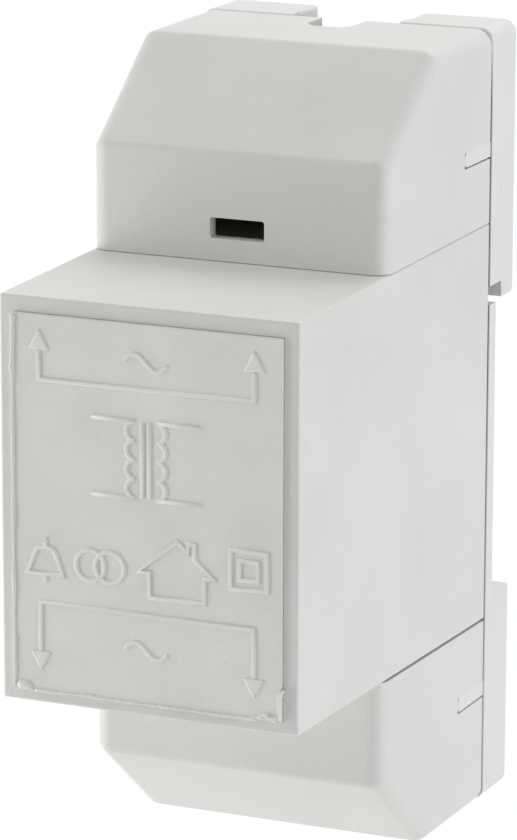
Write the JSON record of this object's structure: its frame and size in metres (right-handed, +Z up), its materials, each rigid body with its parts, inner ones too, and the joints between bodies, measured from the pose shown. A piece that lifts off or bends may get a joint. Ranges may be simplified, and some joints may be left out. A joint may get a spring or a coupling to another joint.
{
  "type": "doorbell transformer",
  "caption": "Bell transformer in a moulded grey case with hooded terminal covers and a rear base that clips on a 35 mm mounting rail.",
  "frame": {"origin": "middle of the base's flat seat that lies against the mounting rail, at the rail's centre line", "axes": "+X to the right along the rail and +Z up, seen from the front; +Y to the rear, into the rail"},
  "size_m": [0.036, 0.0604, 0.0911],
  "materials": {
    "housing_grey": "fine matte moulding",
    "latch_grey": "smooth moulding",
    "spring_steel": "drawn wire",
    "zinc_steel": "zinc plated",
    "core_steel": "stacked silicon steel sheet",
    "bobbin_plastic": "moulded",
    "copper_wire": "enamelled copper wire",
    "film_tape": "polyester film tape",
    "tinned_pin": "tinned",
    "cutout_case": "sealed case",
    "block_plastic": "moulded",
    "clamp_brass": "plain",
    "lead_blue": "insulated wire",
    "lead_brown": "insulated wire"
  },
  "bodies": {
    "base": {"main_housing": "housing_grey", "front_plate": "housing_grey", "upper_terminal_cover": "housing_grey", "lower_terminal_cover": "housing_grey", "rear_base": "housing_grey", "latch_spring": "spring_steel", "base_screws": "zinc_steel", "core_e_stack": "core_steel", "core_i_stack": "core_steel", "bobbin": "bobbin_plastic", "primary_winding": "copper_wire", "secondary_winding": "copper_wire", "primary_tape": "film_tape", "secondary_tape": "film_tape", "bobbin_pins": "tinned_pin", "thermal_cutout": "cutout_case", "upper_terminal_block": "block_plastic", "lower_terminal_block": "block_plastic", "upper_terminal_clamps": "clamp_brass", "lower_terminal_clamps": "clamp_brass", "upper_terminal_screws": "zinc_steel", "lower_terminal_screws": "zinc_steel", "secondary_leads": "lead_blue", "primary_leads": "lead_brown"},
    "latch": {"rail_latch": "latch_grey"}
  },
  "joints": [
    {"name": "latch_slide", "type": "slide", "parent": "base", "child": "latch", "axis": [0, 0, -1], "range_m": [0, 0.003], "stiffness_N_per_m": 150, "springref_m": -0.008, "deforming": ["latch_spring"]}
  ]
}
